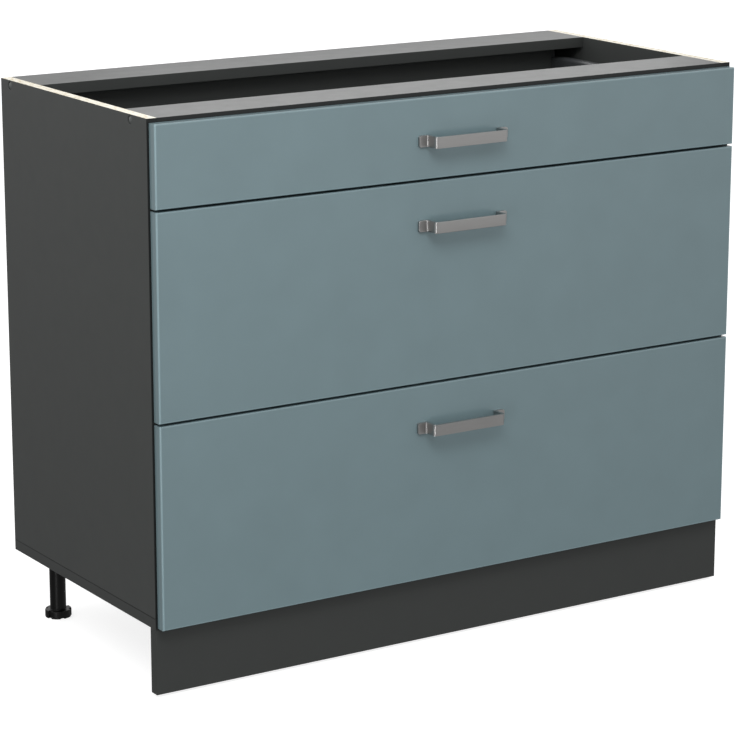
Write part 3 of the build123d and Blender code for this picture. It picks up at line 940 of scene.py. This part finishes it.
@dataclass
class DrawerFittings(Assembly):
    """Front, handle, boards, rails, screws and ball rows of one drawer."""

    name: str = "top"
    front_edge_mm: float = 1.2
    front_segments: int = 3
    handle_edge_mm: float = 0.6
    board_edge_mm: float = 0.4
    rail_edge_mm: float = 0.8
    handle_screw: CrossScrew = CrossScrew(radius_mm=4.2, height_mm=2.6)
    handle_hole_spacing_mm: float = 128.0
    runner_screw: CrossScrew = CrossScrew(radius_mm=3.2, height_mm=1.6)
    runner_screw_ends_mm: float = 35.0
    runner_wall_mm: float = 1.5
    cabinet_screw: CrossScrew = CrossScrew(radius_mm=3.6, height_mm=1.0)
    cabinet_screw_ends_mm: float = 28.0
    bracket_screw: CrossScrew = CrossScrew(radius_mm=3.4, height_mm=1.8)
    bracket_screw_inset_mm: float = 12.0
    bracket_screw_rises_mm: tuple[float, float] = (14.0, 44.0)
    ball: Ball = Ball(radius_mm=2.2)
    ball_pitch_mm: float = 12.5
    # Rows of balls: how far in from the outer member's wall, and how far above and below the runner's middle.
    outer_row_mm: tuple[float, float] = (8.05, 19.1)
    inner_row_mm: tuple[float, float] = (12.85, 13.0)
    cage_end_mm: float = 5.0
    cage_length_mm: float = 176.0

    def node(self, part: str) -> str:
        """Give the full name of one of the drawer's nodes."""
        return f"{self.name}_{part}"

    def handle_screws(self) -> None:
        """Set the two screws that hold the handle, seen inside the drawer."""
        low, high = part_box(self.node("handle"))
        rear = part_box(self.node("front"))[1][1]
        half = self.handle_hole_spacing_mm * MM / 2
        level = (low[2] + high[2]) / 2
        seats = [Seat((x, rear, level), (0, 1, 0)) for x in (-half, half)]
        self.repeat(self.handle_screw, seats, self.node("handle_screw_heads"), "screw_zinc",
                    self.node("drawer"), (self.node("handle_screws"),))

    def web_seats(self, member: str, way: int, ends_mm: float) -> list[Seat]:
        """Find three places for screws on the web of the left and the right runner member.

        Args:
            member: inner or outer.
            way: 1 for screws that face out to the cabinet's side, -1 for screws that face the drawer.
            ends_mm: how far the outermost screws sit from the ends.

        Returns:
            The seats.
        """
        seats = []
        for side, sign in SIDES:
            low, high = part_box(self.node(f"runner_{member}_{side}"))
            facing = way * sign
            x = (low[0] if facing > 0 else high[0]) + facing * self.runner_wall_mm * MM
            level = (low[2] + high[2]) / 2
            seats += [Seat((x, y, level), (facing, 0, 0)) for y in three_along(low[1], high[1], ends_mm)]
        return seats

    def runner_screws(self) -> None:
        """Set three screws in each inner member, into the drawer's side."""
        self.repeat(self.runner_screw, self.web_seats("inner", 1, self.runner_screw_ends_mm),
                    self.node("runner_screws"), "screw_zinc", self.node("drawer"))

    def cabinet_screws(self) -> None:
        """Set three flat screws in each outer member, into the cabinet's side."""
        self.repeat(self.cabinet_screw, self.web_seats("outer", -1, self.cabinet_screw_ends_mm),
                    self.node("cabinet_screws"), "screw_zinc", "carcass")

    def ball_rows(self) -> None:
        """Fill the ball cages of both middle members."""
        end, length = self.cage_end_mm * MM, self.cage_length_mm * MM
        count = int(self.cage_length_mm // self.ball_pitch_mm)
        for side, sign in SIDES:
            wall = abs(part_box(self.node(f"runner_outer_{side}"))[1 if sign > 0 else 0][0])
            low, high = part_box(self.node(f"runner_middle_{side}"))
            level = (low[2] + high[2]) / 2
            rows = ((self.outer_row_mm, high[1] - end - length), (self.inner_row_mm, low[1] + end))
            seats = []
            for (inset, rise), start in rows:
                for number in range(count):
                    y = start + (number + 0.5) * length / count
                    seats += [Seat((sign * (wall - inset * MM), y, level + up * rise * MM), (0, 0, 1))
                              for up in (-1, 1)]
            self.repeat(self.ball, seats, self.node(f"runner_balls_{side}"), "screw_zinc",
                        self.node("middle_runners"))

    def bracket_screws(self) -> None:
        """Set two screws in each rear bracket, into the back board."""
        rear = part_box(self.node("brackets"))[1][1]
        low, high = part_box(self.node("back"))
        x = high[0] - self.bracket_screw_inset_mm * MM
        seats = [
            Seat((side * x, rear, low[2] + rise * MM), (0, 1, 0))
            for side in (-1, 1)
            for rise in self.bracket_screw_rises_mm
        ]
        self.repeat(self.bracket_screw, seats, self.node("bracket_screws"), "screw_zinc", self.node("drawer"))

    def build(self) -> None:
        """Build the drawer's pieces."""
        self.ease(self.node("front"), self.front_edge_mm, self.front_segments)
        self.ease(self.node("handle"), self.handle_edge_mm)
        for part in ("base", "back"):
            self.ease(self.node(part), self.board_edge_mm)
        if self.node("gallery_rails") in SLOT_OF:
            self.ease(self.node("gallery_rails"), self.rail_edge_mm)
        self.handle_screws()
        self.runner_screws()
        self.cabinet_screws()
        self.ball_rows()
        self.bracket_screws()


@dataclass(frozen=True)
class SoftBox:
    """A rectangular studio light that the camera doesn't see, in metres and watts."""

    name: str
    place: Triple
    target: Triple
    width: float
    height: float
    power: float

    def hang(self) -> None:
        """Hang the light so that it faces its target."""
        lamp = bpy.data.lights.new(self.name, "AREA")
        lamp.shape = "RECTANGLE"
        lamp.size, lamp.size_y = self.width, self.height
        lamp.energy = self.power
        box = bpy.data.objects.new(self.name, lamp)
        box.location = self.place
        box.rotation_euler = (Vector(self.target) - Vector(self.place)).to_track_quat("-Z", "Y").to_euler()
        box.visible_camera = False
        bpy.context.scene.collection.objects.link(box)


@dataclass
class Studio:
    """Pale floor, soft boxes, surroundings above a grey ground, a white backdrop and the camera."""

    # Metres, radians and millimetres of focal length.
    camera_place: Triple = (-2.3294, -3.6159, 1.4421)
    camera_yaw: float = 0.5683
    camera_pitch: float = 0.2448
    lens: float = 142.9
    sensor: float = 36.0
    floor_side: float = 40.0
    floor_cuts: int = 3
    # The floor lies this far under the feet, so that no face of theirs lies in it.
    floor_drop_mm: float = 0.5
    floor_colour: str = "#BCBCBC"
    floor_roughness: float = 0.9
    floor_specular: float = 0.1
    floor_glow: float = 0.8
    # How strongly each part of the surroundings shines.
    sky: float = 1.0
    ground: float = 0.25
    left_wall: float = 0.55
    rear_wall: float = 0.87
    # The upward part of a direction where the ground ends and where the sky begins.
    horizon: tuple[float, float] = (-0.3, -0.03)
    soft_boxes: tuple[SoftBox, ...] = (
        # Large and high in front: the fronts' main light.
        SoftBox("key_box", (-0.9, -1.5, 2.1), (0.0, 0.0, 0.6), width=1.4, height=0.8, power=21.0),
        # High on the left: the side panel.
        SoftBox("side_box", (-2.0, 0.1, 2.1), (-0.5, 0.0, 0.6), width=1.0, height=0.8, power=8.0),
        # Low and narrow in front on the left: the bends that face it, such as the fronts' left edges.
        SoftBox("bend_box", (-2.5, -1.75, 0.0), (0.0, -0.2, 0.3), width=0.3, height=1.8, power=13.0),
        # Small, close above and behind the cabinet: the tops of its rails.
        SoftBox("rail_box", (0.47, 0.6, 1.12), (0.47, -0.2, 0.8), width=1.2, height=0.2, power=0.95),
    )

    def floor(self) -> None:
        """Lay the floor: a pale sheet that glows a little like a product table, and is clear from below."""
        start_clean()
        bpy.ops.mesh.primitive_plane_add(size=self.floor_side, location=(0, 0, -self.floor_drop_mm * MM))
        sheet = bpy.context.object
        sheet.name = "studio_floor"
        bpy.ops.object.transform_apply(location=True)
        bpy.ops.object.mode_set(mode="EDIT")
        bpy.ops.mesh.subdivide(number_cuts=self.floor_cuts)
        bpy.ops.object.mode_set(mode="OBJECT")
        pale = bpy.data.materials.new("matt_white_acrylic_table")
        pale.use_nodes = True
        tree = pale.node_tree
        shader = tree.nodes["Principled BSDF"]
        for socket, value in {"Base Color": linear(self.floor_colour), "Roughness": self.floor_roughness,
                              "Specular IOR Level": self.floor_specular, "Emission Color": WHITE,
                              "Emission Strength": self.floor_glow}.items():
            shader.inputs[socket].default_value = value
        below = add_node(tree, "ShaderNodeNewGeometry").outputs["Backfacing"]
        clear = add_node(tree, "ShaderNodeBsdfTransparent").outputs["BSDF"]
        both = add_node(tree, "ShaderNodeMixShader", links={0: below, 1: shader.outputs["BSDF"], 2: clear})
        tree.links.new(both.outputs["Shader"], tree.nodes["Material Output"].inputs["Surface"])
        sheet.data.materials.append(pale)
        # The object takes no light from the sheet and mirrors none of it, and the sheet blocks no light.
        sheet.visible_diffuse = False
        sheet.visible_glossy = False
        sheet.visible_shadow = False

    def surroundings(self) -> None:
        """Surround the object by a sky, greyer to the left and the rear, above a grey ground.

        The camera sees a white backdrop in their place.
        """
        world = bpy.data.worlds.new("white_surroundings")
        bpy.context.scene.world = world
        world.use_nodes = True
        tree = world.node_tree
        background = tree.nodes["Background"].inputs
        way = add_node(tree, "ShaderNodeTexCoord").outputs["Generated"]
        axes = add_node(tree, "ShaderNodeSeparateXYZ", links={"Vector": way})
        height = add_node(tree, "ShaderNodeMapRange",
                          {"From Min": self.horizon[0], "From Max": self.horizon[1], "To Min": self.ground,
                           "To Max": self.sky}, {"Value": axes.outputs["Z"]})
        side = add_node(tree, "ShaderNodeMapRange",
                        {"From Min": -1.0, "From Max": 0.0, "To Min": self.left_wall, "To Max": 1.0},
                        {"Value": axes.outputs["X"]})
        rear = add_node(tree, "ShaderNodeMapRange",
                        {"To Min": 1.0, "To Max": self.rear_wall}, {"Value": axes.outputs["Y"]})
        walls = add_node(tree, "ShaderNodeMath", {"operation": "MULTIPLY"},
                         {0: side.outputs["Result"], 1: rear.outputs["Result"]})
        strength = add_node(tree, "ShaderNodeMath", {"operation": "MULTIPLY"},
                            {0: height.outputs["Result"], 1: walls.outputs["Value"]})
        # Mixing numbers, the node takes them at its sockets 2 and 3 and gives the result at 0.
        seen = add_node(tree, "ShaderNodeLightPath").outputs["Is Camera Ray"]
        shown = add_node(tree, "ShaderNodeMix", {"data_type": "FLOAT", 3: self.sky},
                         {SHARE: seen, 2: strength.outputs["Value"]})
        tree.links.new(shown.outputs[0], background["Strength"])
        background["Color"].default_value = WHITE

    def camera(self) -> None:
        """Set up the camera at the viewing angle."""
        eye = bpy.data.cameras.new("studio_camera")
        eye.lens = self.lens
        eye.sensor_width = self.sensor
        seat = bpy.data.objects.new("studio_camera", eye)
        seat.location = self.camera_place
        seat.rotation_euler = (math.pi / 2 - self.camera_pitch, 0.0, -self.camera_yaw)
        bpy.context.scene.collection.objects.link(seat)
        bpy.context.scene.camera = seat

    def build(self) -> None:
        """Set up the whole studio."""
        bpy.context.scene.view_settings.view_transform = "Standard"
        self.floor()
        self.surroundings()
        for soft_box in self.soft_boxes:
            soft_box.hang()
        self.camera()


def main() -> None:
    """Build the scene in order."""
    logging.basicConfig(level=logging.INFO, format="%(message)s")
    finishes = Finishes()
    finishes.dress_nodes()
    Carcass(finishes).build()
    Feet(finishes).build()
    for name in ("top", "middle", "bottom"):
        DrawerFittings(finishes, name=name).build()
    Studio().build()


if __name__ == "__main__":
    main()
